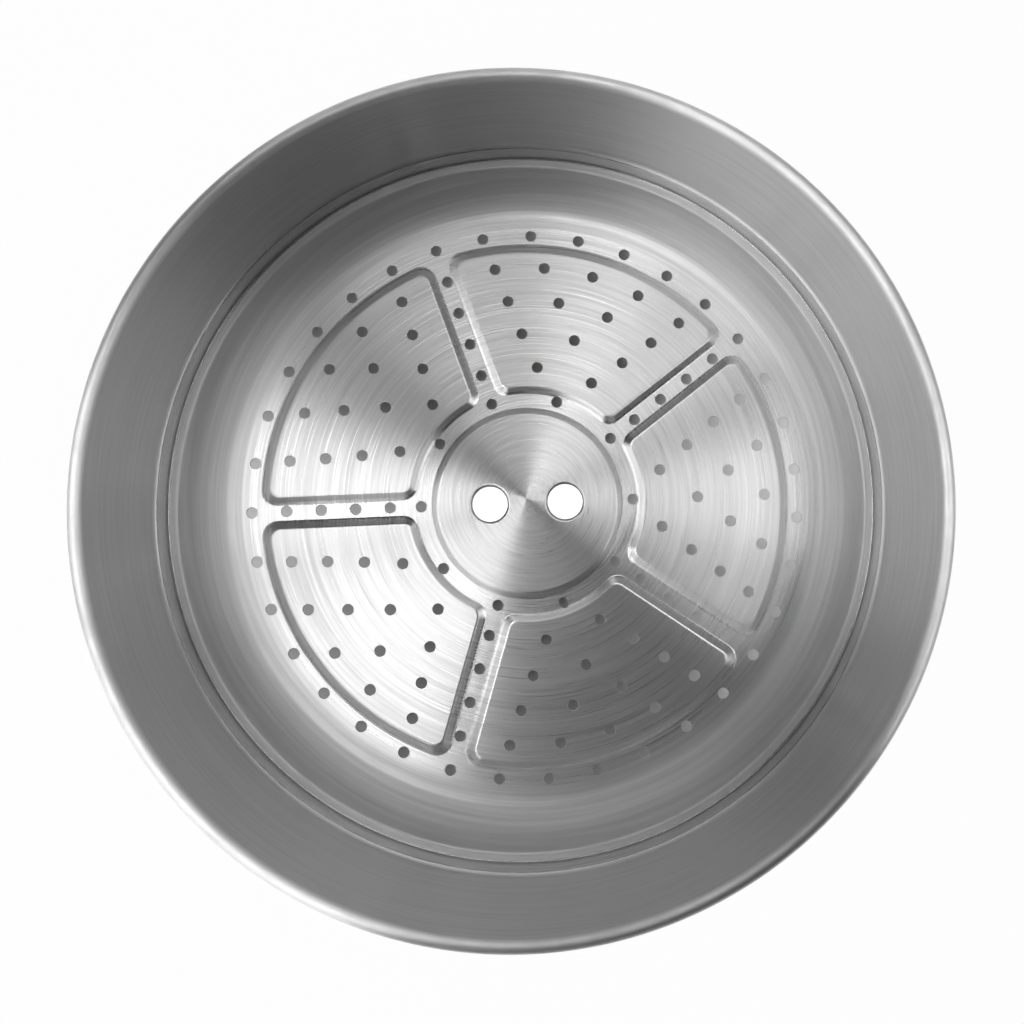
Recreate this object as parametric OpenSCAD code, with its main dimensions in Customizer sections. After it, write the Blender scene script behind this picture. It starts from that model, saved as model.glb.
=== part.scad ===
// One tier of a steamer pot: a drawn ring and the perforated plate that lies in it.
// Both are single sheets of stainless steel. The origin is the middle of the foot, on the
// surface that the ring stands on, and +X runs through the two finger holes.

/* [Wall and rim] */
// Inside diameter of the mouth
mouth_d = 280; // [220:5:340]
// Thickness of the ring's sheet
ring_t = 0.6; // [0.4:0.1:0.8]
// Outside diameter of the rolled rim
curl_d = 4.8; // [3:0.2:6]
// How far round the rim is rolled, in degrees
curl_turn = 300; // [220:10:300]
// Height from the ledge's inner edge to the top of the rim
wall_h = 45; // [30:1:90]
// Fall of the ledge towards the middle, in degrees
ledge_fall = 32; // [15:1:45]
// Bend between the wall and the ledge
ledge_bend = 2.2; // [1:0.1:2.4]
// Bend at the ledge's inner edge
edge_bend = 1; // [0.6:0.1:1.2]

/* [Spigot] */
// Height of the spigot, from the ground to the ledge's inner edge
spigot_h = 31; // [27:1:45]
// Gap all round between the spigot and a mouth of the same size
stack_gap = 1.1; // [0.8:0.1:2]
// Drop from the ledge's inner edge to the seat under the plate
seat_drop = 7.5; // [5:0.5:10]
// How far the bead stands in from the spigot's inside face
bead_w = 3; // [2.6:0.1:4.5]
// Slope of the bead's underside, in degrees
bead_slope = 59; // [50:1:70]
// Bend between the spigot and the seat
seat_bend = 0.8; // [0.5:0.1:1]
// Bend at the bead's nose
nose_bend = 0.8; // [0.6:0.1:1]
// Bend between the bead's underside and the spigot
tail_bend = 2; // [1:0.5:4]
// Width of the turned-in foot
foot_w = 4.3; // [3:0.1:8]
// Bend between the spigot and the foot
foot_bend = 1.5; // [0.6:0.1:2.2]

/* [Plate] */
// Thickness of the plate's sheet
plate_t = 0.5; // [0.3:0.1:0.7]
// Gap between the plate's edge and the spigot's inside face
edge_gap = 0.9; // [0.5:0.1:1.4]
// Gap between the plate's dish and the bead's nose
nose_gap = 0.5; // [0.3:0.1:0.8]
// Bend between the flange and the dish
lip_bend = 0.9; // [0.5:0.1:1.2]
// Depth of the dish, from the flange's top to the floor's top
dish_h = 16; // [10:1:20]
// Slope of the dish's wall, in degrees
dish_slope = 82; // [60:1:84]
// Bend between the dish's wall and the floor
dish_bend = 15.5; // [4:0.5:15.5]

/* [Pressing] */
// Number of raised panels
panels = 5; // [3:1:7]
// Height of the panels and of the middle disc over the floor
press_h = 2.2; // [1:0.1:3]
// Radius of the middle disc's flat top
disc_r = 36.3; // [30:0.5:42]
// Width of the ring channel's flat bottom, round the disc
ring_channel_w = 5.4; // [4:0.2:9]
// Width of the radial channels' flat bottom, between two panels
channel_w = 5.8; // [5:0.2:9]
// Level margin between the panels and the dish's bend
panel_margin = 9.7; // [6:0.1:16]
// Width of the slope round the disc and at the panels' ends
end_slope_w = 3.6; // [2:0.1:5]
// Width of the slope along the panels' sides
side_slope_w = 4.3; // [2:0.1:6]
// Corner radius of the panels at the floor
corner_r = 6.5; // [5:0.1:9]
// Corner radius of the panels at the top
top_corner_r = 3.5; // [2:0.1:5]
// Turn of the pressing against the rows of holes, in degrees
press_turn = 0.35; // [-0.5:0.05:0.5]

/* [Holes] */
// Diameter of the steam holes
hole_d = 4.5; // [3:0.1:5.5]
// From the dish's bend to the outermost ring of holes
ring_margin = 6.4; // [4:0.1:7]
// From one ring of holes to the next
ring_pitch = 14; // [11:0.5:20]
// Holes of the outermost ring for each panel
outer_count = 7; // [5:1:9]
// From the disc's foot to the ring of holes in the ring channel
channel_hole_in = 3.8; // [2:0.1:4]
// Diameter of the two finger holes
finger_d = 14.5; // [12:0.5:20]
// Distance between the two finger holes
finger_pitch = 31; // [26:1:36]
// Bend of the lip round a finger hole
finger_bend = 0.9; // [0.5:0.1:1.5]
// Height of the turned-down lip
finger_lip_h = 1.9; // [1.6:0.1:3]

/* [Hidden] */

// Overrun of a cut past the faces that it goes through
overrun = 1;
// Overlap of two stretches of one sheet
lap = 0.3;
// Largest turn between two points of a bend, in degrees
bend_step = 9;
// Segments of a panel's corner, inner end and outer end
corner_segs = 5;
inner_segs = 8;
outer_segs = 16;
$fn = 120;

// Ring, measured on the middle of its sheet
tier_h = wall_h + spigot_h;
wall_r = mouth_d/2 + ring_t/2;
curl_r = curl_d/2;
curl_mid_r = curl_r - ring_t/2;
spigot_in_r = mouth_d/2 - stack_gap - ring_t;
spigot_r = spigot_in_r + ring_t/2;
ledge_w = wall_r - spigot_r;
ledge_drop = ledge_w*tan(ledge_fall);
// The ledge's two bends shrink together where the ledge is too short for them
ledge_fit = ledge_w/cos(ledge_fall)/tan((90 - ledge_fall)/2);
ledge_bend_scale = min(1, ledge_fit/(ledge_bend + edge_bend));
nose_in_r = spigot_in_r - bead_w;
seat_z = spigot_h - seat_drop;
seat_mid_z = seat_z - ring_t/2;
// The bead's underside runs back to the spigot from the corner that its nose rounds off
nose_turn = 180 - bead_slope;
nose_corner_r = nose_in_r + ring_t/2 + nose_bend - nose_bend*tan(nose_turn/2);

// Plate, measured on its top face unless the name says otherwise
plate_r = spigot_in_r - edge_gap;
flange_z = seat_z + plate_t;
floor_z = flange_z - dish_h;
disc_z = floor_z + press_h;
dish_top_r = nose_in_r - nose_gap - plate_t/2;
dish_foot_r = dish_top_r - dish_h/tan(dish_slope);
// The dish's bend is no larger than its wall leaves room for
dish_fillet = min(dish_bend, dish_h/sin(dish_slope)/tan(dish_slope/2) - lip_bend - lap);
floor_r = dish_foot_r - dish_fillet*tan(dish_slope/2);
disc_foot_r = disc_r + end_slope_w;
panel_in_r = disc_foot_r + ring_channel_w;
panel_out_r = floor_r - panel_margin;
channel_turn = 360/panels;
first_channel = channel_turn/2;

// Shares of a slope's width and of its height, from as far below the foot as its first bend rises
slope_width_shares = [-0.14, 0.14, 0.86, 1];
slope_height_shares = [-0.06, 0.06, 0.94, 1];

// Rings of holes on the panels and beyond them, from the outermost inwards
outer_ring_r = floor_r - ring_margin;
inmost_ring_r = panel_in_r + end_slope_w + hole_d/2;
ring_count = max(1, floor((outer_ring_r - inmost_ring_r)/ring_pitch) + 1);
channel_ring_r = disc_foot_r + channel_hole_in;

// Steps along the middle line of a bent sheet. A bend is [centre, radius, first angle, last angle],
// a free end is a bend of no radius, and straight stretches run from each one to the next.
function toward(a) = [cos(a), sin(a)];
function heading(a, b) = atan2(b.y - a.y, b.x - a.x);
function free_end(p, way) = [p, 0, way - 90, way - 90];
function bend(a, b, c, r) =
    let(
        way = heading(a, b),
        raw = heading(b, c) - way,
        turn = raw > 180 ? raw - 360 : raw < -180 ? raw + 360 : raw,
        side = sign(turn),
        centre = b - toward(way)*r*tan(abs(turn)/2) + toward(way + 90*side)*r
    )
    [centre, r, way - 90*side, way - 90*side + turn];

// One face of the sheet along a bend: side 1 is on the left of the way, side -1 on its right
function face_points(b, side, t) =
    let(
        sense = b[3] < b[2] ? -1 : 1,
        r = b[1] - sense*side*t/2,
        n = ceil(abs(b[3] - b[2])/bend_step)
    )
    [for (i = [0:n]) b[0] + r*toward(b[2] + (b[3] - b[2])*i/max(n, 1))];
function reversed(list) = [for (i = [len(list) - 1:-1:0]) list[i]];
function sheet_outline(path, t) = concat(
    [for (b = path) each face_points(b, 1, t)],
    reversed([for (b = path) each face_points(b, -1, t)])
);

// The ring's section, from the free end of the roll down to the foot's inner edge
module ring_section() {
    curl_centre = [mouth_d/2 + curl_r, tier_h - curl_r];
    wall_foot = [wall_r, spigot_h + ledge_drop];
    ledge_edge = [spigot_r, spigot_h];
    seat_corner = [spigot_r, seat_mid_z];
    nose_corner = [nose_corner_r, seat_mid_z];
    tail_corner = [spigot_r, seat_mid_z - (spigot_r - nose_corner_r)*tan(bead_slope)];
    foot_corner = [spigot_r, ring_t/2];
    foot_end = [spigot_r + ring_t/2 - foot_w, ring_t/2];
    path = [
        [curl_centre, curl_mid_r, 180 - curl_turn, 180],
        bend([wall_r, tier_h], wall_foot, ledge_edge, ledge_bend*ledge_bend_scale),
        bend(wall_foot, ledge_edge, seat_corner, edge_bend*ledge_bend_scale),
        bend(ledge_edge, seat_corner, nose_corner, seat_bend),
        bend(seat_corner, nose_corner, tail_corner, nose_bend),
        bend(nose_corner, tail_corner, foot_corner, tail_bend),
        bend(tail_corner, foot_corner, foot_end, foot_bend),
        free_end(foot_end, 180)
    ];
    polygon(sheet_outline(path, ring_t));
}

module tier_ring() {
    color("silver") rotate_extrude() ring_section();
}

// The plate's section without its panels, from the flange's edge to the axis
module plate_section() {
    sheet_z = -plate_t/2;
    edge = [plate_r, flange_z + sheet_z];
    dish_top = [dish_top_r, flange_z + sheet_z];
    dish_foot = [dish_foot_r, floor_z + sheet_z];
    disc_foot = [disc_foot_r, floor_z + sheet_z];
    disc_top = [disc_r, disc_z + sheet_z];
    middle = [0, disc_z + sheet_z];
    slope_bend = end_slope_w*slope_width_shares[1]/tan(heading(disc_top, disc_foot)/-2);
    path = [
        free_end(edge, 180),
        bend(edge, dish_top, dish_foot, lip_bend),
        bend(dish_top, dish_foot, disc_foot, dish_fillet),
        bend(dish_foot, disc_foot, disc_top, slope_bend),
        bend(disc_foot, disc_top, middle, slope_bend),
        free_end(middle, 180)
    ];
    polygon(sheet_outline(path, plate_t));
}

// A panel's outline at a share of its slope's width, with the panel's middle line along +X:
// two sides that run beside the channels' middle lines, two arcs about the axis, rounded corners
function arc_points(centre, r, from, to, n) = [for (i = [0:n]) centre + r*toward(from + (to - from)*i/n)];
function panel_outline(share) =
    let(
        in_r = panel_in_r + end_slope_w*share,
        out_r = panel_out_r - end_slope_w*share,
        off = channel_w/2 + side_slope_w*share,
        r = corner_r + (top_corner_r - corner_r)*share,
        half = channel_turn/2,
        in_turn = half - asin((off + r)/(in_r + r)),
        out_turn = half - asin((off + r)/(out_r - r)),
        in_centre = (in_r + r)*toward(in_turn),
        out_centre = (out_r - r)*toward(out_turn),
        low_in = [in_centre.x, -in_centre.y],
        low_out = [out_centre.x, -out_centre.y],
        sideways = half + 90
    )
    concat(
        arc_points([0, 0], out_r, -out_turn, out_turn, outer_segs),
        [for (i = [1:corner_segs]) out_centre + r*toward(out_turn + (sideways - out_turn)*i/corner_segs)],
        arc_points(in_centre, r, sideways, in_turn + 180, corner_segs),
        [for (i = [1:inner_segs - 1]) in_r*toward(in_turn - 2*in_turn*i/inner_segs)],
        arc_points(low_in, r, 180 - in_turn, 360 - sideways, corner_segs),
        [for (i = [0:corner_segs - 1]) low_out + r*toward(-sideways + (sideways - out_turn)*i/corner_segs)]
    );

// A block under a panel's face, or under that face set lower. Its slopes run on straight through the
// floor's level, where they cross it, and its base lies one small step below
module panel_block(drop) {
    levels = len(slope_width_shares);
    outlines = [for (s = slope_width_shares) panel_outline(s)];
    n = len(outlines[0]);
    slopes = [
        for (k = [0:levels - 2])
            for (i = [0:n - 1])
                let(j = (i + 1)%n, low = k*n, high = low + n)
                each [[low + i, high + i, high + j], [low + i, high + j, low + j]]
    ];
    base = [for (i = [0:n - 1]) i];
    top = reversed([for (i = base) (levels - 1)*n + i]);
    polyhedron(
        points = [
            for (k = [0:levels - 1])
                for (p = outlines[k]) [p.x, p.y, floor_z + press_h*slope_height_shares[k] - drop]
        ],
        faces = concat(slopes, [base, top])
    );
}

module at_panels() {
    for (i = [0:panels - 1]) {
        rotate(press_turn + channel_turn*i) children();
    }
}

// The turned-down lip of a finger hole, with the level ring by which it joins the disc
module finger_lip() {
    mid_r = finger_d/2 + plate_t/2;
    mid_z = disc_z - plate_t/2;
    outer = [mid_r + finger_bend + lap, mid_z];
    corner = [mid_r, mid_z];
    tip = [mid_r, disc_z - finger_lip_h];
    rotate_extrude() polygon(sheet_outline(
        [free_end(outer, 180), bend(outer, corner, tip, finger_bend), free_end(tip, -90)],
        plate_t
    ));
}

module at_fingers() {
    for (x = [-finger_pitch/2, finger_pitch/2]) {
        translate([x, 0, 0]) children();
    }
}

// One ring of steam holes, cut through the floor and the panels, with a hole on each channel
module hole_ring(r, per_panel) {
    for (i = [0:panels*per_panel - 1]) {
        rotate(first_channel + channel_turn*i/per_panel) {
            translate([r, 0, floor_z - plate_t - overrun]) {
                cylinder(d = hole_d, h = plate_t + press_h + 2*overrun);
            }
        }
    }
}

module steam_holes() {
    for (k = [0:ring_count - 1]) {
        hole_ring(outer_ring_r - ring_pitch*k, max(1, outer_count - k));
    }
    hole_ring(channel_ring_r, max(1, outer_count - ring_count));
}

module steam_plate() {
    color("gainsboro") difference() {
        union() {
            difference() {
                union() {
                    rotate_extrude() plate_section();
                    at_panels() panel_block(0);
                }
                at_panels() panel_block(plate_t);
                at_fingers() {
                    translate([0, 0, disc_z - plate_t - overrun]) {
                        cylinder(d = finger_d + plate_t + 2*finger_bend, h = plate_t + 2*overrun);
                    }
                }
            }
            at_fingers() finger_lip();
        }
        steam_holes();
    }
}

tier_ring();
steam_plate();
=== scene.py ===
"""One tier of a steamer pot: the satin ring and the turned, perforated plate, in a plain studio.

Both pieces are modelled from the sizes of their sheets, and stand for the plainer solids of the
frame. Sizes are in millimetres unless a name says otherwise, and meshes are in metres.
"""

import logging
import math
from dataclasses import dataclass, field
from enum import Enum

import bmesh
import bpy
from mathutils import Matrix, Vector


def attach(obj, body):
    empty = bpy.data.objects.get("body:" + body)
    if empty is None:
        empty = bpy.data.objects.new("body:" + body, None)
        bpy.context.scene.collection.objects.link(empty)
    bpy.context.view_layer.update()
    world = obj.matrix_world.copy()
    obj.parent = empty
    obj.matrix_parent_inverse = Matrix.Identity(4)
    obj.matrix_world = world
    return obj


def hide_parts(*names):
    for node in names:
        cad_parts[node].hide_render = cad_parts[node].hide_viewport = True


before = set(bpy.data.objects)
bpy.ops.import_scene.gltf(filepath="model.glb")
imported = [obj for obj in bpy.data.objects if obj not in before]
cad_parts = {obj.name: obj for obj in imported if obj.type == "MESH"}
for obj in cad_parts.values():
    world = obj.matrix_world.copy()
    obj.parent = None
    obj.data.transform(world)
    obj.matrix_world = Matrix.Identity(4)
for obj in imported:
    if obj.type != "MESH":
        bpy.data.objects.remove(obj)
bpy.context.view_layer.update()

LOG = logging.getLogger("steamer_tier")
MM = 0.001
SAME_POINT = 1e-6
MERGE_MM = 0.001
NORMAL_WEIGHT = 50
OVERHEAD_Z = 600.0
WHITE = (1.0, 1.0, 1.0, 1.0)
UP = (0.0, 0.0, 1.0)
Point = tuple[float, float]


class Body(Enum):
    """The bodies of the frame that pieces ride on."""

    RING = "ring"
    PLATE = "plate"


class Cut(Enum):
    """What a second solid does to the first one."""

    ADD = "UNION"
    REMOVE = "DIFFERENCE"


# Mesh helpers


def deselect_all() -> None:
    """Leave edit mode and select nothing."""
    if bpy.context.object and bpy.context.object.mode != "OBJECT":
        bpy.ops.object.mode_set(mode="OBJECT")
    bpy.ops.object.select_all(action="DESELECT")


def make_active(obj: bpy.types.Object) -> None:
    """Select one object alone and make it the active one."""
    deselect_all()
    obj.select_set(True)
    bpy.context.view_layer.objects.active = obj


def apply_modifier(obj: bpy.types.Object, kind: str, **settings: object) -> None:
    """Add a modifier, set it and apply it.

    Args:
        obj: The object that it changes.
        kind: The modifier's type name.
        settings: Its properties by name.
    """
    make_active(obj)
    modifier = obj.modifiers.new(kind.lower(), kind)
    for name, value in settings.items():
        setattr(modifier, name, value)
    bpy.ops.object.modifier_apply(modifier=modifier.name)


def place_in_mesh(obj: bpy.types.Object) -> None:
    """Move an object's place, turn and scale into its mesh."""
    make_active(obj)
    bpy.ops.object.transform_apply(location=True, rotation=True, scale=True)


def join(objects: list[bpy.types.Object], name: str) -> bpy.types.Object:
    """Join several meshes into one object.

    Args:
        objects: The meshes; the first one stays.
        name: The new name.

    Returns:
        The joined object.
    """
    make_active(objects[0])
    for obj in objects:
        obj.select_set(True)
    bpy.ops.object.join()
    objects[0].name = name
    return objects[0]


def combine(target: bpy.types.Object, tool: bpy.types.Object, cut: Cut) -> None:
    """Add a closed mesh to another one, or remove it from it, and delete it.

    Args:
        target: The mesh that stays.
        tool: The mesh that is used up.
        cut: Whether it adds or removes.
    """
    apply_modifier(target, "BOOLEAN", object=tool, operation=cut.value, solver="EXACT")
    bpy.data.objects.remove(tool, do_unlink=True)


def copy_by(obj: bpy.types.Object, moves: list[Matrix], name: str) -> bpy.types.Object:
    """Copy a mesh by each of several moves, join the copies, and delete the first one.

    Args:
        obj: The mesh that is copied and then deleted.
        moves: One matrix for each copy.
        name: The joined copies' name.

    Returns:
        The joined copies.
    """
    copies = []
    for move in moves:
        copy = obj.copy()
        copy.data = obj.data.copy()
        bpy.context.collection.objects.link(copy)
        copy.data.transform(move)
        copies.append(copy)
    bpy.data.objects.remove(obj, do_unlink=True)
    return join(copies, name)


def polar(radius: float, degrees: float) -> Point:
    """The point at a radius and an angle."""
    return radius * math.cos(math.radians(degrees)), radius * math.sin(math.radians(degrees))


@dataclass
class SheetPath:
    """The middle line of a bent sheet in the half plane of radius and height.

    Attributes:
        points: The line's points so far.
        bend_step: Largest turn between two points of a bend, in degrees.
    """

    points: list[Point] = field(default_factory=list)
    bend_step: float = 9.0

    def arc(self, centre: Point, radius: float, first: float, last: float) -> "SheetPath":
        """Add an arc.

        Args:
            centre: Its centre.
            radius: Its radius.
            first: The angle where it starts, in degrees.
            last: The angle where it ends.

        Returns:
            The path itself.
        """
        count = max(1, math.ceil(abs(last - first) / self.bend_step))
        for i in range(count + 1):
            dx, dy = polar(radius, first + (last - first) * i / count)
            self.points.append((centre[0] + dx, centre[1] + dy))
        return self

    def corners(self, stops: list[tuple[float, float, float]]) -> "SheetPath":
        """Add straight stretches with rounded corners between them.

        Args:
            stops: Radius, height and bend of each corner. The first and the last have no bend.

        Returns:
            The path itself.
        """
        for i, (r, z, bend) in enumerate(stops):
            if bend == 0:
                if not self.points or math.dist(self.points[-1], (r, z)) > SAME_POINT:
                    self.points.append((r, z))
                continue
            before = Vector((stops[i - 1][0] - r, stops[i - 1][1] - z)).normalized()
            after = Vector((stops[i + 1][0] - r, stops[i + 1][1] - z)).normalized()
            half = before.angle(after) / 2
            centre = Vector((r, z)) + (before + after).normalized() * bend / math.sin(half)
            start = Vector((r, z)) + before * bend / math.tan(half) - centre
            end = Vector((r, z)) + after * bend / math.tan(half) - centre
            first = math.degrees(math.atan2(start.y, start.x))
            turn = math.degrees(math.atan2(start.cross(end), start.dot(end)))
            self.arc((centre.x, centre.y), bend, first, first + turn)
        return self


def spin_line(
    name: str, line: list[Point], steps: int, centre: Point = (0.0, 0.0), angle: float = 360.0,
) -> bpy.types.Object:
    """Draw a line point by point and spin it round a vertical axis.

    Args:
        name: Name of the new object.
        line: Points of radius and height, in millimetres.
        steps: Number of steps of the spin.
        centre: Where the axis stands.
        angle: How far it is spun, in degrees.

    Returns:
        The open surface, with its doubles merged and its faces turned one way.
    """
    deselect_all()
    start = Vector((centre[0] + line[0][0], centre[1], line[0][1])) * MM
    bpy.ops.mesh.primitive_plane_add(size=MM, location=start)
    obj = bpy.context.object
    obj.name = name
    place_in_mesh(obj)
    bpy.ops.object.mode_set(mode="EDIT")
    bpy.ops.mesh.merge(type="CENTER")
    for here, there in zip(line, line[1:]):
        step = Vector((there[0] - here[0], 0, there[1] - here[1])) * MM
        bpy.ops.mesh.extrude_vertices_move(TRANSFORM_OT_translate={"value": step})
    bpy.ops.mesh.select_all(action="SELECT")
    axis_at = (centre[0] * MM, centre[1] * MM, 0)
    bpy.ops.mesh.spin(steps=steps, angle=math.radians(angle), center=axis_at, axis=(0, 0, 1))
    bpy.ops.mesh.select_all(action="SELECT")
    bpy.ops.mesh.remove_doubles(threshold=MERGE_MM * MM)
    bpy.ops.mesh.normals_make_consistent(inside=False)
    bpy.ops.object.mode_set(mode="OBJECT")
    return obj


def thicken(obj: bpy.types.Object, thickness: float) -> None:
    """Give a surface the thickness of its sheet, half on each side."""
    apply_modifier(
        obj, "SOLIDIFY", thickness=thickness * MM, offset=0.0,
        use_even_offset=True, use_rim=True,
    )


def smooth(obj: bpy.types.Object, crease: float) -> None:
    """Shade smooth up to an angle, and let the large faces rule the normals at their edges.

    Args:
        obj: The finished mesh.
        crease: Edges sharper than this stay sharp, in degrees.
    """
    make_active(obj)
    bpy.ops.object.shade_smooth_by_angle(angle=math.radians(crease))
    apply_modifier(obj, "WEIGHTED_NORMAL", mode="FACE_AREA", weight=NORMAL_WEIGHT, keep_sharp=True)


# Material helpers


class NodeSheet:
    """A short way to lay nodes in a tree.

    Attributes:
        tree: The node tree that they go into.
    """

    def __init__(self, tree: bpy.types.NodeTree) -> None:
        """Start on a tree."""
        self.tree = tree

    def add(self, kind: str, inputs: dict | None = None, **settings: object) -> bpy.types.Node:
        """Add a node, set it and link its inputs.

        Args:
            kind: The node's type name.
            inputs: For each input's name or number, a value or a socket to link.
            settings: The node's own properties.

        Returns:
            The node.
        """
        node = self.tree.nodes.new(kind)
        for name, value in settings.items():
            setattr(node, name, value)
        for key, value in (inputs or {}).items():
            self.feed(node.inputs[key], value)
        return node

    def feed(self, socket: bpy.types.NodeSocket, value: object) -> None:
        """Link a socket to another one, or set its value."""
        if isinstance(value, bpy.types.NodeSocket):
            self.tree.links.new(value, socket)
        else:
            socket.default_value = value

    def math(self, operation: str, *values: object, clamp: bool = False) -> bpy.types.NodeSocket:
        """The result of a Math node."""
        node = self.add("ShaderNodeMath", dict(enumerate(values)), operation=operation)
        node.use_clamp = clamp
        return node.outputs[0]

    def vector(self, operation: str, *values: object) -> bpy.types.NodeSocket:
        """The vector that a Vector Math node puts out."""
        node = self.add("ShaderNodeVectorMath", dict(enumerate(values)), operation=operation)
        return node.outputs[0]

    def ramp(
        self, value: object, low: float, high: float, to_low: float, to_high: float,
    ) -> bpy.types.NodeSocket:
        """A value mapped smoothly from one range to another and held at its ends."""
        keys = {"Value": value, "From Min": low, "From Max": high, "To Min": to_low, "To Max": to_high}
        node = self.add("ShaderNodeMapRange", keys, interpolation_type="SMOOTHSTEP")
        return node.outputs[0]

    def parts(self, vector: object) -> bpy.types.NodeOutputs:
        """The three parts of a vector."""
        return self.add("ShaderNodeSeparateXYZ", {0: vector}).outputs

    def length(self, vector: object) -> bpy.types.NodeSocket:
        """The length of a vector."""
        return self.add("ShaderNodeVectorMath", {0: vector}, operation="LENGTH").outputs[1]

    def noise(
        self, place: object, scale: object, detail: object, roughness: float = 0.5,
    ) -> bpy.types.NodeSocket:
        """Noise about a half."""
        keys = {"Vector": place, "Scale": scale, "Detail": detail, "Roughness": roughness}
        return self.add("ShaderNodeTexNoise", keys).outputs[0]

    def group(self, tree: bpy.types.NodeTree, inputs: dict) -> bpy.types.NodeSocket:
        """The one output of a node group."""
        return self.add("ShaderNodeGroup", inputs, node_tree=tree).outputs[0]


def empty_tree(owner: bpy.types.Material | bpy.types.World) -> NodeSheet:
    """Turn on the nodes of a material or a world, with none in its tree yet."""
    owner.use_nodes = True
    owner.node_tree.nodes.clear()
    return NodeSheet(owner.node_tree)


def new_group(
    name: str, inputs: dict[str, str], outputs: dict[str, str],
) -> tuple[bpy.types.NodeTree, NodeSheet]:
    """Start a shader node group.

    Args:
        name: Its name.
        inputs: Socket types by name.
        outputs: Socket types by name.

    Returns:
        The group and a sheet to lay its nodes with.
    """
    group = bpy.data.node_groups.new(name, "ShaderNodeTree")
    for way, sockets in (("INPUT", inputs), ("OUTPUT", outputs)):
        for socket, kind in sockets.items():
            group.interface.new_socket(socket, in_out=way, socket_type=kind)
    return group, NodeSheet(group)


FLOAT = "NodeSocketFloat"
VECTOR = "NodeSocketVector"
GRAIN_ROUGHNESS = 0.6
CLOUD_DETAIL = 3.0
CLOUD_ROUGHNESS = 0.55
# The share of a rub's width that is fully rubbed
RUB_FULL = 0.2
# A rub's patches: their number for each metre, their detail, where they fade, and what stays
RUB_PATCHES = 90.0
RUB_DETAIL = 3.0
RUB_BREAK = (0.3, 0.6)
RUB_LEAST = 0.75


def circular_grain_group() -> bpy.types.NodeTree:
    """The marks of a tool that runs round an axis: long arcs of uneven strength.

    Returns:
        A group that takes a position, the axis's place, a slope of the marks' rings against the
        height, counts per metre and round the axis, and the noise's detail, and puts out a value
        about a half.
    """
    inputs = {
        "Position": VECTOR, "Centre": VECTOR, "Height Share": FLOAT,
        "Rings": FLOAT, "Arcs": FLOAT, "Detail": FLOAT,
    }
    group, sheet = new_group("circular_grain", inputs, {"Value": FLOAT})
    given = sheet.add("NodeGroupInput").outputs
    local = sheet.parts(sheet.vector("SUBTRACT", given["Position"], given["Centre"]))
    level = sheet.add("ShaderNodeCombineXYZ", {0: local[0], 1: local[1]}).outputs[0]
    way = sheet.vector("NORMALIZE", level)
    across = sheet.math("ADD", sheet.length(level), sheet.math("MULTIPLY", local[2], given["Height Share"]))
    turned = sheet.add("ShaderNodeVectorMath", {0: way, 3: given["Arcs"]}, operation="SCALE").outputs[0]
    split = sheet.parts(turned)
    rings = sheet.math("MULTIPLY", across, given["Rings"])
    place = sheet.add("ShaderNodeCombineXYZ", {0: split[0], 1: split[1], 2: rings}).outputs[0]
    sheet.add("NodeGroupOutput", {"Value": sheet.noise(place, 1.0, given["Detail"], GRAIN_ROUGHNESS)})
    return group


def handling_group() -> bpy.types.NodeTree:
    """Faint clouds and smears that steel takes on from washing and handling.

    Returns:
        A group that takes a position, a size and an amount, and puts out a factor about one.
    """
    inputs = {"Position": VECTOR, "Per Metre": FLOAT, "Amount": FLOAT}
    group, sheet = new_group("handling_clouds", inputs, {"Factor": FLOAT})
    given = sheet.add("NodeGroupInput").outputs
    noise = sheet.noise(given["Position"], given["Per Metre"], CLOUD_DETAIL, CLOUD_ROUGHNESS)
    centred = sheet.math("SUBTRACT", noise, 0.5)
    sheet.add("NodeGroupOutput", {"Factor": sheet.math("MULTIPLY_ADD", centred, given["Amount"], 1.0)})
    return group


def rubbed_edges_group() -> bpy.types.NodeTree:
    """Edges that rub against cloths and other pans, and shine more than the rest.

    Returns:
        A group that takes a position, the heights of a low and a high edge, and how wide the rub
        is, and puts out a broken mask.
    """
    inputs = {"Position": VECTOR, "Low": FLOAT, "High": FLOAT, "Width": FLOAT}
    group, sheet = new_group("rubbed_edges", inputs, {"Mask": FLOAT})
    given = sheet.add("NodeGroupInput").outputs
    height = sheet.parts(given["Position"])[2]
    near = []
    for key in ("Low", "High"):
        away = sheet.math("ABSOLUTE", sheet.math("SUBTRACT", height, given[key]))
        near.append(sheet.ramp(sheet.math("DIVIDE", away, given["Width"]), RUB_FULL, 1.0, 1.0, 0.0))
    both = sheet.math("MAXIMUM", *near)
    noise = sheet.noise(given["Position"], RUB_PATCHES, RUB_DETAIL)
    broken = sheet.math("MULTIPLY", both, sheet.ramp(noise, *RUB_BREAK, RUB_LEAST, 1.0))
    sheet.add("NodeGroupOutput", {"Mask": broken})
    return group


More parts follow.
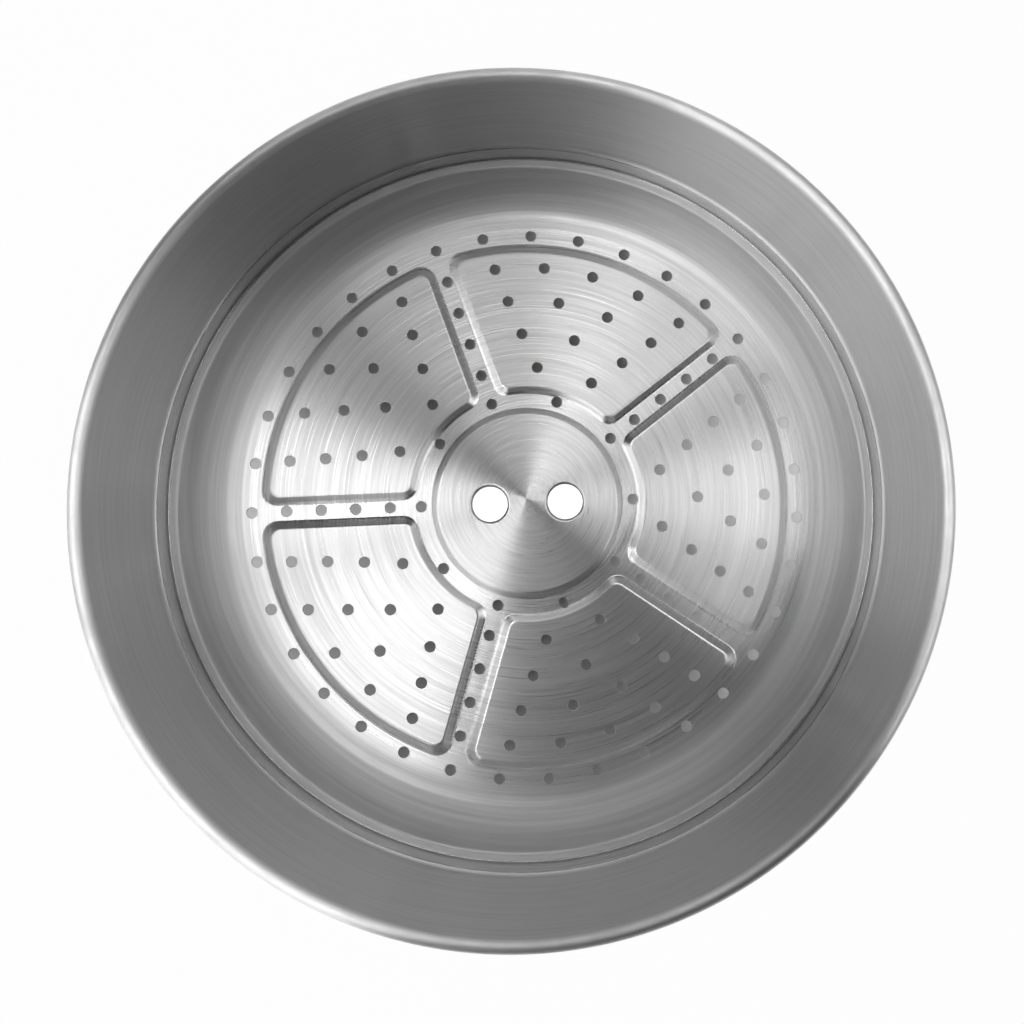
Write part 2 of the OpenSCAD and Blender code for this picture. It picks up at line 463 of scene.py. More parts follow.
@dataclass(frozen=True)
class CircularSteel:
    """Stainless steel with the marks of a tool that ran round an axis.

    Attributes:
        name: The material's name.
        tone: Reflectance of the clean metal.
        roughness: Mean roughness.
        anisotropy: How much wider the highlight is across the marks than along them.
        centre: Where the marks' axis stands, in millimetres.
        shine_centre: Where the highlights' lines meet, in millimetres.
        height_share: How far the rings' number follows the height, against the radius.
        fine_rings: Fine marks for each metre across them.
        coarse_rings: Broad bands for each metre.
        arcs: How often a mark changes its strength on its way round.
        tone_swing: Change of tone from the broad bands.
        rough_swing: Change of roughness from the fine marks.
        depth: Depth of the marks in millimetres.
        clouds: Strength of the handling marks.
        rub_heights: Heights of the edges that are rubbed bright, in millimetres.
        rub_width: How wide the rub is, in millimetres.
        rub_tone: How much brighter it is.
        rub_smoothing: How much less rough it is.
        side_r: Radii between which the finish changes to that of a dish's side or of a ring's wall, and the
            darker tone of side_tone_and_shade sets in, in millimetres.
        side_rough: How much rougher that side is.
        side_tone_and_shade: How much darker that side is: on the plate's dish a painted shade that tones
            down the glare of its bend, on the ring's wall a slightly darker tone.
        fine_detail: Detail of the fine marks.
        coarse_detail: Detail of the broad bands.
        clouds_per_metre: How dense the handling marks are.
        quarter: Turn of the highlight against the marks, in whole turns.
    """

    name: str
    tone: float
    roughness: float
    anisotropy: float
    centre: Point = (0.0, 0.0)
    shine_centre: Point = (0.0, 0.0)
    height_share: float = 0.0
    fine_rings: float = 5000.0
    coarse_rings: float = 600.0
    arcs: float = 1.6
    tone_swing: float = 0.25
    rough_swing: float = 0.15
    depth: float = 0.01
    clouds: float = 0.1
    rub_heights: Point = (0.0, 0.0)
    rub_width: float = 0.6
    rub_tone: float = 0.1
    rub_smoothing: float = 0.08
    side_r: Point = (1000.0, 1001.0)
    side_rough: float = 0.0
    side_tone_and_shade: float = 1.0
    fine_detail: float = 2.0
    coarse_detail: float = 4.0
    clouds_per_metre: float = 28.0
    quarter: float = 0.25

    def material(self, groups: dict[str, bpy.types.NodeTree]) -> bpy.types.Material:
        """Build the material.

        Args:
            groups: The shared node groups by name.

        Returns:
            The material.
        """
        material = bpy.data.materials.new(self.name)
        sheet = empty_tree(material)
        position = sheet.add("ShaderNodeTexCoord").outputs["Object"]
        fine = self.grain(sheet, groups, position, self.fine_rings, self.fine_detail)
        coarse = self.grain(sheet, groups, position, self.coarse_rings, self.coarse_detail)
        clouds = sheet.group(groups["clouds"], {
            "Position": position, "Per Metre": self.clouds_per_metre, "Amount": self.clouds,
        })
        rub = sheet.group(groups["rub"], {
            "Position": position, "Low": self.rub_heights[0] * MM, "High": self.rub_heights[1] * MM,
            "Width": self.rub_width * MM,
        })
        radius = sheet.length(self.from_axis(sheet, position, self.centre))
        side = sheet.ramp(radius, self.side_r[0] * MM, self.side_r[1] * MM, 0.0, 1.0)
        relief = sheet.math("ADD", fine, coarse)
        bump = sheet.add("ShaderNodeBump", {"Height": relief, "Strength": 1.0, "Distance": self.depth * MM})
        outwards = self.from_axis(sheet, position, self.shine_centre)
        around = sheet.vector("NORMALIZE", sheet.vector("CROSS_PRODUCT", UP, outwards))
        shader = sheet.add("ShaderNodeBsdfPrincipled", {
            "Base Color": self.colour(sheet, coarse, rub, side, clouds), "Metallic": 1.0,
            "Roughness": self.dullness(sheet, fine, rub, side, clouds),
            "Anisotropic": self.anisotropy, "Anisotropic Rotation": self.quarter,
            "Tangent": around, "Normal": bump.outputs[0],
        })
        sheet.add("ShaderNodeOutputMaterial", {"Surface": shader.outputs[0]})
        return material

    def colour(
        self, sheet: NodeSheet, coarse: object, rub: object, side: object, clouds: object,
    ) -> bpy.types.NodeSocket:
        """The grey of the metal, from the broad bands, the rubbed edges, the darker side, which is painted
        shade on the plate's dish, and the clouds.
        """
        swing = sheet.math("SUBTRACT", coarse, 0.5)
        tone = sheet.math("MULTIPLY_ADD", swing, self.tone_swing, self.tone)
        rubbed = sheet.math("MULTIPLY_ADD", rub, self.rub_tone, tone)
        # Darker towards the side: on the plate's dish this is painted shade against the glare of its bend.
        side_shaded = sheet.math("MULTIPLY", rubbed, sheet.math("MULTIPLY_ADD", side, self.side_tone_and_shade - 1.0, 1.0))
        grey = sheet.math("MULTIPLY", side_shaded, clouds, clamp=True)
        return sheet.add("ShaderNodeCombineColor", {0: grey, 1: grey, 2: grey}).outputs[0]

    def dullness(
        self, sheet: NodeSheet, fine: object, rub: object, side: object, clouds: object,
    ) -> bpy.types.NodeSocket:
        """The roughness, from the fine marks, the rubbed edges, the side and the clouds."""
        swing = sheet.math("SUBTRACT", fine, 0.5)
        rough = sheet.math("MULTIPLY_ADD", swing, self.rough_swing, self.roughness)
        worn = sheet.math("MULTIPLY_ADD", rub, -self.rub_smoothing, rough)
        coarser = sheet.math("MULTIPLY_ADD", side, self.side_rough, worn)
        return sheet.math("MULTIPLY", coarser, clouds, clamp=True)

    @staticmethod
    def from_axis(sheet: NodeSheet, position: object, centre: Point) -> bpy.types.NodeSocket:
        """The level vector from an upright axis to a position."""
        axis = (centre[0] * MM, centre[1] * MM, 0.0)
        return sheet.vector("MULTIPLY", sheet.vector("SUBTRACT", position, axis), (1.0, 1.0, 0.0))

    def grain(
        self, sheet: NodeSheet, groups: dict, position: object, rings: float, detail: float,
    ) -> bpy.types.NodeSocket:
        """Place the circular grain group with this finish's values."""
        return sheet.group(groups["grain"], {
            "Position": position, "Centre": (self.centre[0] * MM, self.centre[1] * MM, 0.0),
            "Height Share": self.height_share, "Rings": rings, "Arcs": self.arcs, "Detail": detail,
        })


@dataclass
class TierRing:
    """The drawn ring: rolled rim, wall, ledge, seat bead, spigot and foot, as one sheet.

    Attributes hold its sizes in millimetres, and angles in degrees.
    """

    mouth_d: float = 280.0
    sheet_t: float = 0.6
    curl_d: float = 4.8
    curl_turn: float = 300.0
    wall_h: float = 45.0
    spigot_h: float = 31.0
    ledge_fall: float = 32.0
    ledge_bend: float = 2.2
    edge_bend: float = 1.0
    stack_gap: float = 1.1
    seat_drop: float = 7.5
    bead_w: float = 3.0
    bead_slope: float = 59.0
    seat_bend: float = 0.8
    nose_bend: float = 0.8
    tail_bend: float = 2.0
    foot_w: float = 4.3
    foot_bend: float = 1.5
    spin_steps: int = 288
    edge_round: float = 0.1
    edge_segments: int = 2
    edge_angle: float = 60.0
    crease: float = 40.0

    @property
    def height(self) -> float:
        """Height of the whole ring."""
        return self.wall_h + self.spigot_h

    @property
    def spigot_in_r(self) -> float:
        """Inside radius of the spigot."""
        return self.mouth_d / 2 - self.stack_gap - self.sheet_t

    @property
    def seat_z(self) -> float:
        """Height of the seat that carries the plate."""
        return self.spigot_h - self.seat_drop

    @property
    def nose_in_r(self) -> float:
        """Inside radius of the bead's nose."""
        return self.spigot_in_r - self.bead_w

    def section(self) -> list[Point]:
        """The middle line of the sheet, from the free end of the roll to the foot's inner edge."""
        half_t = self.sheet_t / 2
        wall_r = self.mouth_d / 2 + half_t
        curl_r = self.curl_d / 2
        spigot_r = self.spigot_in_r + half_t
        wall_foot_z = self.spigot_h + (wall_r - spigot_r) * math.tan(math.radians(self.ledge_fall))
        seat_mid_z = self.seat_z - half_t
        nose_turn = math.radians(180 - self.bead_slope)
        nose_r = self.nose_in_r + half_t + self.nose_bend * (1 - math.tan(nose_turn / 2))
        tail_z = seat_mid_z - (spigot_r - nose_r) * math.tan(math.radians(self.bead_slope))
        path = SheetPath()
        curl_at = (self.mouth_d / 2 + curl_r, self.height - curl_r)
        path.arc(curl_at, curl_r - half_t, 180 - self.curl_turn, 180)
        path.corners([
            (wall_r, self.height - curl_r, 0),
            (wall_r, wall_foot_z, self.ledge_bend),
            (spigot_r, self.spigot_h, self.edge_bend),
            (spigot_r, seat_mid_z, self.seat_bend),
            (nose_r, seat_mid_z, self.nose_bend),
            (spigot_r, tail_z, self.tail_bend),
            (spigot_r, half_t, self.foot_bend),
            (spigot_r + half_t - self.foot_w, half_t, 0),
        ])
        return path.points

    def build(self, finish: bpy.types.Material) -> bpy.types.Object:
        """Model the ring.

        Args:
            finish: Its material.

        Returns:
            The ring's mesh object.
        """
        ring = spin_line("satin_tier_ring", self.section(), self.spin_steps)
        thicken(ring, self.sheet_t)
        apply_modifier(
            ring, "BEVEL", width=self.edge_round * MM, segments=self.edge_segments,
            limit_method="ANGLE", angle_limit=math.radians(self.edge_angle),
        )
        smooth(ring, self.crease)
        ring.data.materials.append(finish)
        return ring


@dataclass
class SteamPlate:
    """The steaming plate: flange, dish, floor, disc, raised panels, holes and finger lips.

    Attributes hold its sizes in millimetres, and angles in degrees. The slopes' shares are pairs of
    a share of the width and of the height, and the edge's turns are in radians.
    """

    ring: TierRing
    sheet_t: float = 0.5
    edge_gap: float = 0.9
    nose_gap: float = 0.5
    lip_bend: float = 0.9
    dish_h: float = 16.0
    dish_slope: float = 82.0
    dish_bend: float = 15.5
    panels: int = 5
    press_h: float = 1.5
    disc_r: float = 36.3
    ring_channel_w: float = 5.4
    channel_w: float = 5.8
    panel_margin: float = 9.7
    end_slope_w: float = 3.6
    outer_slope_w: float = 5.0
    side_slope_w: float = 4.3
    corner_r: float = 6.5
    top_corner_r: float = 3.5
    press_turn: float = 0.35
    hole_d: float = 4.5
    ring_margin: float = 6.4
    ring_pitch: float = 14.0
    outer_count: int = 7
    ring_count: int = 5
    channel_hole_in: float = 3.8
    finger_d: float = 14.5
    finger_pitch: float = 31.0
    finger_bend: float = 0.9
    finger_lip_h: float = 1.9
    edge_roll: float = 0.12
    edge_turns: tuple[float, float] = (0.5, 1.05)
    overrun: float = 1.0
    lap: float = 0.3
    crease: float = 38.0
    dish_step: float = 6.0
    lip_step: float = 15.0
    spin_steps: int = 240
    hole_steps: int = 32
    finger_steps: int = 96
    end_segments: tuple[int, int] = (30, 14)
    corner_segments: int = 9
    slope_shares: tuple[tuple[float, float], ...] = (
        (-0.05, -0.013), (0.05, 0.013), (0.12, 0.075), (0.19, 0.155), (0.74, 0.865),
        (0.82, 0.945), (0.91, 0.987), (1.0, 1.0),
    )

    @property
    def flange_z(self) -> float:
        """Height of the flange's top."""
        return self.ring.seat_z + self.sheet_t

    @property
    def floor_z(self) -> float:
        """Height of the floor's top."""
        return self.flange_z - self.dish_h

    @property
    def disc_z(self) -> float:
        """Height of the disc's and the panels' top."""
        return self.floor_z + self.press_h

    @property
    def dish_top_r(self) -> float:
        """Radius of the corner between the flange and the dish."""
        return self.ring.nose_in_r - self.nose_gap - self.sheet_t / 2

    @property
    def dish_foot_r(self) -> float:
        """Radius of the corner between the dish's wall and the floor."""
        return self.dish_top_r - self.dish_h / math.tan(math.radians(self.dish_slope))

    @property
    def floor_r(self) -> float:
        """Radius of the level floor."""
        return self.dish_foot_r - self.dish_bend * math.tan(math.radians(self.dish_slope / 2))

    @property
    def disc_foot_r(self) -> float:
        """Radius of the foot of the slope round the disc."""
        return self.disc_r + self.end_slope_w

    def section(self) -> list[Point]:
        """The middle line of the sheet without its panels, from the flange's edge to the axis."""
        drop = self.sheet_t / 2
        run = self.disc_foot_r - self.disc_r
        path = SheetPath(bend_step=self.dish_step)
        path.corners([
            (self.ring.spigot_in_r - self.edge_gap, self.flange_z - drop, 0),
            (self.dish_top_r, self.flange_z - drop, self.lip_bend),
            (self.dish_foot_r, self.floor_z - drop, self.dish_bend),
            (self.floor_r - self.panel_margin, self.floor_z - drop, 0),
        ])
        for width, height in self.slope_shares[1:]:
            path.points.append((self.disc_foot_r - run * width, self.floor_z + self.press_h * height - drop))
        path.points.append((0.0, self.disc_z - drop))
        return path.points

    def panel_outline(self, share: float) -> list[Point]:
        """A panel's outline at a share of its slope's width, with its middle line along +X.

        Args:
            share: 0 at the foot, 1 at the top.

        Returns:
            Its points, anticlockwise: two arcs about the axis, two straight sides, four corners.
        """
        in_r = self.disc_foot_r + self.ring_channel_w + self.end_slope_w * share
        out_r = self.floor_r - self.panel_margin - self.outer_slope_w * share
        off = self.channel_w / 2 + self.side_slope_w * share
        r = self.corner_r + (self.top_corner_r - self.corner_r) * share
        half = 180 / self.panels
        in_turn = half - math.degrees(math.asin((off + r) / (in_r + r)))
        out_turn = half - math.degrees(math.asin((off + r) / (out_r - r)))
        corners = SheetPath(bend_step=90 / self.corner_segments)
        outer, inner = self.end_segments
        in_x, in_y = polar(in_r + r, in_turn)
        out_x, out_y = polar(out_r - r, out_turn)
        side = half + 90
        ends = [polar(out_r, -out_turn + 2 * out_turn * i / outer) for i in range(1, outer)]
        back = [polar(in_r, in_turn - 2 * in_turn * i / inner) for i in range(1, inner)]
        corners.points += ends
        corners.arc((out_x, out_y), r, out_turn, side)
        corners.arc((in_x, in_y), r, side, in_turn + 180)
        corners.points += back
        corners.arc((in_x, -in_y), r, 180 - in_turn, 360 - side)
        corners.arc((out_x, -out_y), r, -side, -out_turn)
        return corners.points

    def panel_block(self, drop: float) -> bpy.types.Object:
        """A block under one panel's face, or under that face set lower.

        Args:
            drop: How much lower than the panel's top face it ends.

        Returns:
            The closed block, with the panel's middle line along +X.
        """
        outline = self.panel_outline(self.slope_shares[0][0])
        deselect_all()
        bpy.ops.mesh.primitive_circle_add(vertices=len(outline), radius=self.disc_r * MM, fill_type="NGON")
        block = bpy.context.object
        bpy.ops.object.mode_set(mode="EDIT")
        for level, (width, height) in enumerate(self.slope_shares):
            if level:
                bpy.ops.mesh.extrude_region_move(TRANSFORM_OT_translate={"value": (0, 0, MM)})
            mesh = bmesh.from_edit_mesh(block.data)
            cap = next(f for f in mesh.faces if f.select)
            z = self.floor_z + self.press_h * height - drop
            for vertex, (x, y) in zip(self.in_order(cap), self.panel_outline(width)):
                vertex.co = Vector((x, y, z)) * MM
            bmesh.update_edit_mesh(block.data)
        bpy.ops.mesh.select_all(action="SELECT")
        bpy.ops.mesh.normals_make_consistent(inside=False)
        bpy.ops.object.mode_set(mode="OBJECT")
        return block

    @staticmethod
    def in_order(cap: bmesh.types.BMFace) -> list[bmesh.types.BMVert]:
        """A cap's corners in their order round it, from the one that was made first."""
        corners = list(cap.verts)
        start = min(range(len(corners)), key=lambda i: corners[i].index)
        turned = corners[start:] + corners[:start]
        return turned if cap.normal.z >= 0 else [turned[0]] + turned[:0:-1]

    def at_panels(self, block: bpy.types.Object, name: str) -> bpy.types.Object:
        """Copy a block to each panel's place and join the copies."""
        turns = [math.radians(self.press_turn + 360 / self.panels * i) for i in range(self.panels)]
        return copy_by(block, [Matrix.Rotation(turn, 4, "Z") for turn in turns], name)

    def hole_places(self) -> list[tuple[float, float, float]]:
        """Radius, angle and the top face's height of every steam hole."""
        places = []
        half = 180 / self.panels
        rings = [
            (self.floor_r - self.ring_margin - self.ring_pitch * k, self.outer_count - k)
            for k in range(self.ring_count)
        ]
        rings.append((self.disc_foot_r + self.channel_hole_in, self.outer_count - self.ring_count))
        for k, (radius, count) in enumerate(rings):
            for i in range(self.panels * count):
                low = i % count == 0 or k in (0, self.ring_count)
                places.append((radius, half + 2 * half * i / count, self.floor_z if low else self.disc_z))
        return places

    def punch(self) -> bpy.types.Object:
        """The tool that cuts one steam hole, with its upper edge rolled in, on the axis."""
        radius = self.hole_d / 2
        roll = self.edge_roll
        line = [(0.0, -self.sheet_t - self.overrun), (radius, -self.sheet_t - self.overrun), (radius, -roll)]
        line += [(radius + roll - roll * math.cos(a), -roll + roll * math.sin(a)) for a in self.edge_turns]
        line += [(radius + roll, 0.0), (radius + roll, self.overrun), (0.0, self.overrun)]
        return spin_line("punch", line, self.hole_steps)

    def punches(self) -> bpy.types.Object:
        """All the steam holes' tools, joined."""
        places = [Vector((*polar(r, degrees), top)) * MM for r, degrees, top in self.hole_places()]
        return copy_by(self.punch(), [Matrix.Translation(place) for place in places], "punches")

    def finger_places(self) -> list[Point]:
        """Where the finger holes' axes stand."""
        return [(-self.finger_pitch / 2, 0.0), (self.finger_pitch / 2, 0.0)]

    def finger_bores(self) -> bpy.types.Object:
        """The tools that clear the disc for the two lips."""
        radius = self.finger_d / 2 + self.sheet_t / 2 + self.finger_bend
        low, high = self.disc_z - self.sheet_t - self.overrun, self.disc_z + self.overrun
        line = [(0.0, low), (radius, low), (radius, high), (0.0, high)]
        tools = [spin_line("bore", line, self.finger_steps, place) for place in self.finger_places()]
        return join(tools, "finger_bores")

    def finger_lips(self) -> bpy.types.Object:
        """The two turned-down lips, each with the level ring that joins it to the disc."""
        radius = self.finger_d / 2 + self.sheet_t / 2
        z = self.disc_z - self.sheet_t / 2
        path = SheetPath(bend_step=self.lip_step)
        path.corners([
            (radius + self.finger_bend + self.lap, z, 0),
            (radius, z, self.finger_bend),
            (radius, self.disc_z - self.finger_lip_h, 0),
        ])
        lips = []
        for place in self.finger_places():
            lip = spin_line("lip", path.points, self.finger_steps, place)
            thicken(lip, self.sheet_t)
            lips.append(lip)
        return join(lips, "finger_lips")

    def build(self, finish: bpy.types.Material, cut_finish: bpy.types.Material) -> bpy.types.Object:
        """Model the plate.

        Args:
            finish: Its material.
            cut_finish: The material of the holes' sheared walls.

        Returns:
            The plate's mesh object.
        """
        plate = spin_line("turned_steam_plate", self.section(), self.spin_steps)
        thicken(plate, self.sheet_t)
        plate.data.materials.append(finish)
        combine(plate, self.at_panels(self.panel_block(0.0), "panels_up"), Cut.ADD)
        combine(plate, self.at_panels(self.panel_block(self.sheet_t), "panels_under"), Cut.REMOVE)
        combine(plate, self.finger_bores(), Cut.REMOVE)
        combine(plate, self.finger_lips(), Cut.ADD)
        tools = self.punches()
        tools.data.materials.append(cut_finish)
        combine(plate, tools, Cut.REMOVE)
        smooth(plate, self.crease)
        return plate


@dataclass(frozen=True)
class ArcLamp:
    """A soft lamp that follows an arc about the tier's axis: a flat one overhead or an upright one.

    Attributes:
        name: Its name.
        first: Azimuth where it starts, anticlockwise from +X, in degrees.
        last: Azimuth where it ends.
        edges: Radius and height of its two long edges, in millimetres.
        radiance: How bright its face is; a white page is 1.
        fade: How far it fades out at its two ends, in degrees.
        step: Largest turn between two points of its edges, in degrees.
    """

    name: str
    first: float
    last: float
    edges: tuple[Point, Point]
    radiance: float
    fade: float = 8.0
    step: float = 6.0

    def build(self) -> bpy.types.Object:
        """Hang the lamp where no camera sees it."""
        steps = math.ceil((self.last - self.first) / self.step)
        lamp = spin_line(self.name, list(self.edges), steps, angle=self.last - self.first)
        lamp.rotation_euler.z = math.radians(self.last)
        place_in_mesh(lamp)
        lamp.data.materials.append(self.material())
        lamp.visible_camera = False
        return lamp

    def material(self) -> bpy.types.Material:
        """Build its light, which fades out towards both ends."""
        material = bpy.data.materials.new(self.name)
        sheet = empty_tree(material)
        middle = math.radians(self.first + self.last) / 2
        half = math.radians(self.last - self.first) / 2
        place = sheet.parts(sheet.add("ShaderNodeTexCoord").outputs["Object"])
        azimuth = sheet.math("ARCTAN2", place[1], place[0])
        off = sheet.math("WRAP", sheet.math("SUBTRACT", azimuth, middle), math.pi, -math.pi)
        away = sheet.math("ABSOLUTE", off)
        strength = sheet.ramp(away, half - math.radians(self.fade), half, self.radiance, 0.0)
        glow = sheet.add("ShaderNodeEmission", {"Color": WHITE, "Strength": strength})
        sheet.add("ShaderNodeOutputMaterial", {"Surface": glow.outputs[0]})
        return material


def overhead(near: float, far: float) -> tuple[Point, Point]:
    """The two edges of a flat lamp that hangs level over the tier, from their radii."""
    return (near, OVERHEAD_Z), (far, OVERHEAD_Z)


@dataclass(frozen=True)
class PaintedLightPool:
    """A painted pool of light on the floor under the tier, which glows for the camera alone where light from
    outside would get in.

    Attributes:
        middle: Azimuth of its middle, in degrees.
        half: How far it reaches to each side of that.
        fade: How far it fades out beyond.
        amount: How bright its painted light is; a white page is 1.
    """

    middle: float
    half: float
    fade: float
    amount: float


@dataclass
class Studio:
    """Floor, soft light and camera.

    Attributes:
        focal_px: Focal length in pixels of the photograph's frame.
        principal_px: Where the lens's axis meets that frame.
        frame_px: Side of that frame.
        sensor: Width of the camera's sensor, in millimetres.
        clip_start: Nearest distance that the camera sees, in metres.
        camera_shift: Where the middle of the rim lies for the camera, in millimetres.
        tilt_deg: Tilt of the camera about its own X and Y.
        roll_deg: Its roll.
        rim_z: Height of the rim, in millimetres.
        room_tone: Light of the room on dull things.
        wall_heights: Upward parts of a direction between which the room's white walls end, as
            metal mirrors them.
        floor_tone: Reflectance of the floor's paint.
        floor_r: Radius of the floor in metres, as with the next radii.
        floor_sides: Number of its sides.
        page_r: Radii between which its paint gives way to a plain white page.
        page_share: How far it does so.
        dim_tone: How bright the painted shade on the floor under the tier is at dim_r.
        dim_r: The radius where dim_tone and the painted pools of light hold; the painted light falls off
            towards the axis.
        dim_end_r: Radii between which this painted light ends.
        bright_r: Radii between which the painted white under the finger holes ends.
        painted_pools: Painted pools of light on the floor under the tier, where light from outside would get
            in.
        lamps: The lamps.
    """

    focal_px: float = 760.0
    principal_px: Point = (581.7, 482.6)
    frame_px: float = 1024.0
    sensor: float = 36.0
    clip_start: float = 0.01
    camera_shift: tuple[float, float, float] = (-20.04, -4.75, -246.5)
    tilt_deg: tuple[float, float] = (-3.08, 1.95)
    roll_deg: float = 2.12
    rim_z: float = 76.0
    room_tone: float = 0.03
    wall_heights: Point = (0.02, 0.12)
    floor_tone: float = 0.8
    floor_r: float = 6.0
    floor_sides: int = 96
    page_r: Point = (0.142, 0.15)
    page_share: float = 0.975
    dim_tone: float = 0.07
    dim_r: float = 0.115
    dim_end_r: Point = (0.118, 0.128)
    bright_r: Point = (0.024, 0.04)
    painted_pools: tuple[PaintedLightPool, ...] = (
        PaintedLightPool(-15.0, 20.0, 40.0, 0.18),
        PaintedLightPool(192.0, 14.0, 42.0, 0.16),
        PaintedLightPool(10.0, 10.0, 24.0, 0.22),
        PaintedLightPool(178.0, 6.0, 26.0, 0.2),
    )
    lamps: tuple[ArcLamp, ...] = (
        ArcLamp("lamp_left_front", 186.0, 249.0, overhead(190.0, 323.0), 4.8),
        ArcLamp("lamp_left_back", 150.0, 192.0, overhead(205.0, 323.0), 5.8),
        ArcLamp("lamp_left_near", 150.0, 246.0, overhead(100.0, 190.0), 1.2),
        ArcLamp("lamp_left_low", 158.0, 250.0, overhead(480.0, 1000.0), 1.6),
        ArcLamp("lamp_left_edge", 132.0, 156.0, overhead(171.0, 323.0), 0.8),
        ArcLamp("lamp_back_left", 90.0, 138.0, overhead(190.0, 323.0), 1.9),
        ArcLamp("lamp_back_right", 57.0, 98.0, overhead(171.0, 323.0), 2.8),
        ArcLamp("lamp_back_near", 50.0, 130.0, overhead(109.0, 171.0), 2.4),
        ArcLamp("lamp_back_low", 50.0, 130.0, overhead(800.0, 1386.0), 1.1),
        ArcLamp("lamp_right_far", -40.0, 20.0, overhead(323.0, 540.0), 2.7),
        ArcLamp("lamp_right_near", -14.0, 30.0, overhead(238.0, 323.0), 2.6),
        ArcLamp("lamp_right_low", 12.0, 62.0, overhead(450.0, 1100.0), 0.3),
        ArcLamp("lamp_corner", 30.0, 62.0, overhead(109.0, 323.0), 1.7),
        ArcLamp("lamp_stand_left", 190.0, 250.0, ((1100.0, 110.0), (1100.0, 420.0)), 1.6),
    )

    def camera(self) -> bpy.types.Object:
        """Set the camera where the photograph was taken from."""
        data = bpy.data.cameras.new("camera")
        data.sensor_width = self.sensor
        data.lens = self.sensor * self.focal_px / self.frame_px
        data.shift_x = (self.frame_px / 2 - self.principal_px[0]) / self.frame_px
        data.shift_y = (self.principal_px[1] - self.frame_px / 2) / self.frame_px
        data.clip_start = self.clip_start
        obj = bpy.data.objects.new("camera", data)
        bpy.context.collection.objects.link(obj)
        turn_x = Matrix.Rotation(math.radians(self.tilt_deg[0]), 4, "X")
        turn_y = Matrix.Rotation(math.radians(self.tilt_deg[1]), 4, "Y")
        view = Matrix.Translation(Vector(self.camera_shift) * MM) @ turn_x @ turn_y
        view = view @ Matrix.Rotation(math.radians(self.roll_deg), 4, "Z")
        view = view @ Matrix.Translation(Vector((0, 0, -self.rim_z)) * MM)
        obj.matrix_world = view.inverted()
        bpy.context.scene.camera = obj
        return obj

    def floor(self) -> bpy.types.Object:
        """Lay the white floor that the tier stands on, with painted light and shade under the tier that only
        the camera sees.
        """
        deselect_all()
        bpy.ops.mesh.primitive_circle_add(
            vertices=self.floor_sides, radius=self.floor_r, fill_type="NGON",
        )
        floor = bpy.context.object
        floor.name = "studio_floor"
        material = bpy.data.materials.new("white_floor")
        sheet = empty_tree(material)
        tone = (self.floor_tone, self.floor_tone, self.floor_tone, 1.0)
        paint = sheet.add("ShaderNodeBsdfDiffuse", {"Color": tone})
        page = sheet.add("ShaderNodeEmission", {"Color": WHITE, "Strength": 1.0})
        rays = sheet.add("ShaderNodeLightPath").outputs
        direct = sheet.math("ADD", rays["Is Camera Ray"], rays["Is Glossy Ray"])
        seen = sheet.math("ADD", direct, rays["Is Transmission Ray"], clamp=True)
        position = sheet.add("ShaderNodeTexCoord").outputs["Object"]
        distance = sheet.length(position)
        share = sheet.math("MULTIPLY", seen, sheet.ramp(distance, *self.page_r, 0.0, self.page_share))
        mixed = sheet.add("ShaderNodeMixShader", {0: share, 1: paint.outputs[0], 2: page.outputs[0]})
        # Painted light and shade under the tier, for camera rays alone: a painted white pool under the
        # finger holes, painted dim shade further out, and painted pools of light at the sides.
        painted_below = self.painted_light_below(sheet, position, distance)
        strength = sheet.math("MULTIPLY", painted_below, rays["Is Camera Ray"])
        glow = sheet.add("ShaderNodeEmission", {"Color": WHITE, "Strength": strength})
        whole = sheet.add("ShaderNodeAddShader", {0: mixed.outputs[0], 1: glow.outputs[0]})
        sheet.add("ShaderNodeOutputMaterial", {"Surface": whole.outputs[0]})
        floor.data.materials.append(material)
        return floor

    def painted_light_below(self, sheet: NodeSheet, position: object, distance: object) -> bpy.types.NodeSocket:
        """The painted light on the floor under the tier that the camera sees through the holes: a painted
        white pool in the middle, painted dim shade further out, brighter in painted pools of light.
        """
        place = sheet.parts(position)
        turn = sheet.math("ARCTAN2", place[1], place[0])
        azimuth = sheet.math("MULTIPLY", turn, math.degrees(1))
        total = self.dim_tone
        # Painted pools of light where light from the sides would reach the floor.
        for pool in self.painted_pools:
            off = sheet.math("WRAP", sheet.math("SUBTRACT", azimuth, pool.middle), 180.0, -180.0)
            away = sheet.math("ABSOLUTE", off)
            light = sheet.ramp(away, pool.half, pool.half + pool.fade, pool.amount, 0.0)
            total = sheet.math("ADD", light, total)
        ring = sheet.math("MULTIPLY", total, sheet.math("DIVIDE", distance, self.dim_r))
        dim = sheet.math("MULTIPLY", ring, sheet.ramp(distance, *self.dim_end_r, 1.0, 0.0))
        # A painted white pool under the finger holes.
        return sheet.math("ADD", dim, sheet.ramp(distance, *self.bright_r, 1.0, 0.0))

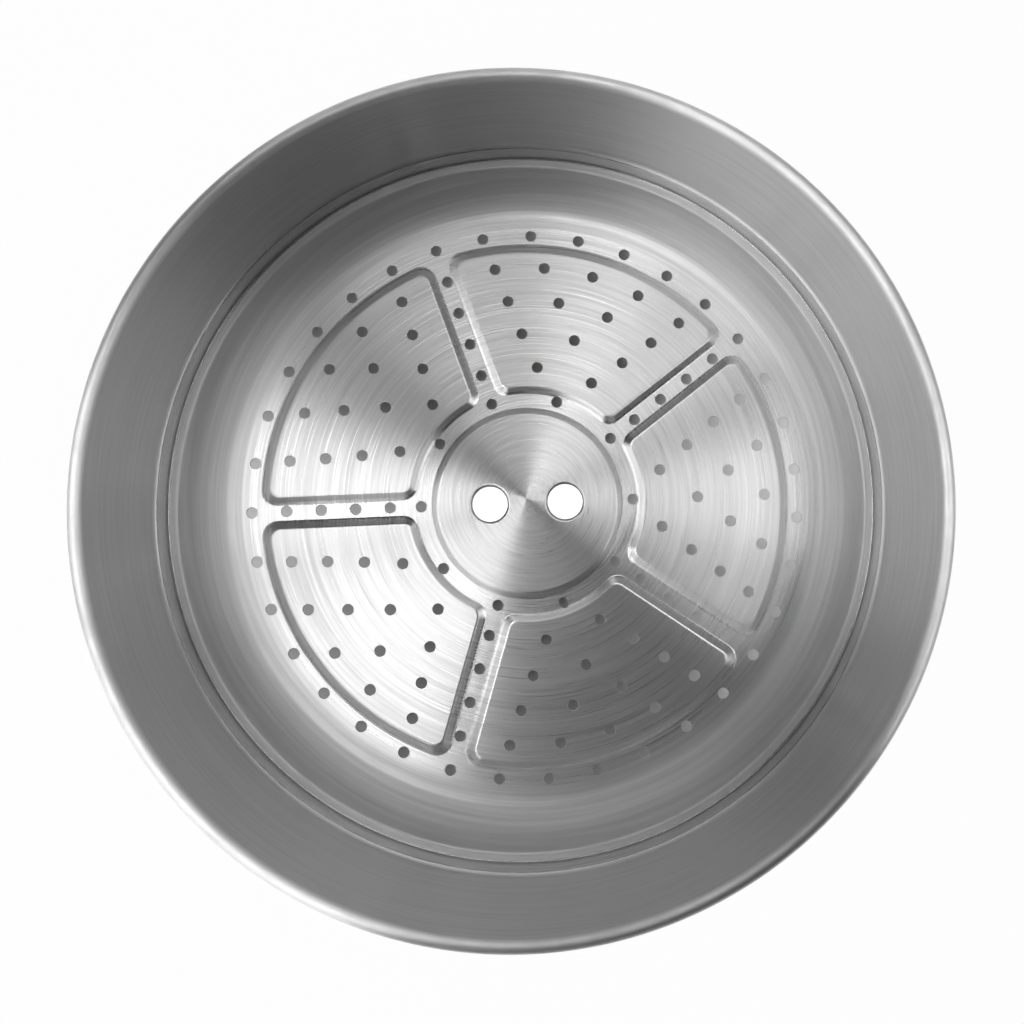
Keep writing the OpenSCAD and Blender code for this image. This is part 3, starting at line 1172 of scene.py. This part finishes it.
    def world(self) -> bpy.types.World:
        """Set the room: white where the camera or the metal sees its walls, and dim otherwise."""
        world = bpy.data.worlds.new("studio")
        bpy.context.scene.world = world
        sheet = empty_tree(world)
        up = sheet.parts(sheet.add("ShaderNodeTexCoord").outputs["Generated"])[2]
        rays = sheet.add("ShaderNodeLightPath").outputs
        mirrored = sheet.math("ADD", rays["Is Glossy Ray"], rays["Is Transmission Ray"])
        walls = sheet.math("MULTIPLY", mirrored, sheet.ramp(up, *self.wall_heights, 1.0, 0.0))
        seen = sheet.math("ADD", rays["Is Camera Ray"], walls, clamp=True)
        level = sheet.ramp(seen, 0.0, 1.0, self.room_tone, 1.0)
        room = sheet.add("ShaderNodeBackground", {"Color": WHITE, "Strength": level})
        sheet.add("ShaderNodeOutputWorld", {"Surface": room.outputs[0]})
        return world

    def build(self) -> None:
        """Set up camera, floor, room and lamps."""
        self.camera()
        self.floor()
        self.world()
        for lamp in self.lamps:
            lamp.build()
        bpy.context.scene.view_settings.view_transform = "Standard"


SATIN = CircularSteel(
    name="satin_ring_steel", tone=0.6, roughness=0.24, anisotropy=0.96, height_share=-1.0,
    fine_rings=3500.0, coarse_rings=700.0, arcs=2.2, tone_swing=0.2, rough_swing=0.2,
    depth=0.006, clouds=0.08, rub_heights=(0.0, 76.2), rub_width=2.6, rub_tone=0.26,
    rub_smoothing=0.1, side_r=(138.4, 139.8), side_rough=0.21, side_tone_and_shade=0.95,
)
# The dish's side is rougher, and its lower tone is painted shade that tones down the glare of the dish's
# bend.
TURNED = CircularSteel(
    name="turned_plate_steel", tone=0.7, roughness=0.32, anisotropy=0.92, centre=(2.1, 1.7),
    shine_centre=(-0.5, 2.0), fine_rings=3000.0, coarse_rings=850.0, arcs=1.3, tone_swing=0.42,
    rough_swing=0.3, depth=0.007, clouds=0.06, rub_heights=(8.3, 24.0), rub_width=0.4,
    side_r=(113.0, 125.0), side_rough=0.15, side_tone_and_shade=0.8,
)
SHEARED = CircularSteel(
    name="sheared_hole_steel", tone=0.55, roughness=0.5, anisotropy=0.0, height_share=1.0,
    fine_rings=3000.0, coarse_rings=1500.0, arcs=6.0, tone_swing=0.2, rough_swing=0.1,
    depth=0.002, clouds=0.1,
)


def main() -> None:
    """Build the ring, the plate and the studio, and report each piece."""
    logging.basicConfig(level=logging.INFO, format="%(message)s")
    groups = {"grain": circular_grain_group(), "clouds": handling_group(), "rub": rubbed_edges_group()}
    ring_maker = TierRing()
    ring = ring_maker.build(SATIN.material(groups))
    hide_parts("tier_ring")
    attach(ring, Body.RING.value)
    plate = SteamPlate(ring_maker).build(TURNED.material(groups), SHEARED.material(groups))
    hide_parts("steam_plate")
    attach(plate, Body.PLATE.value)
    for piece in (ring, plate):
        LOG.info("%s: %d faces", piece.name, len(piece.data.polygons))
    Studio().build()


if __name__ == "__main__":
    main()
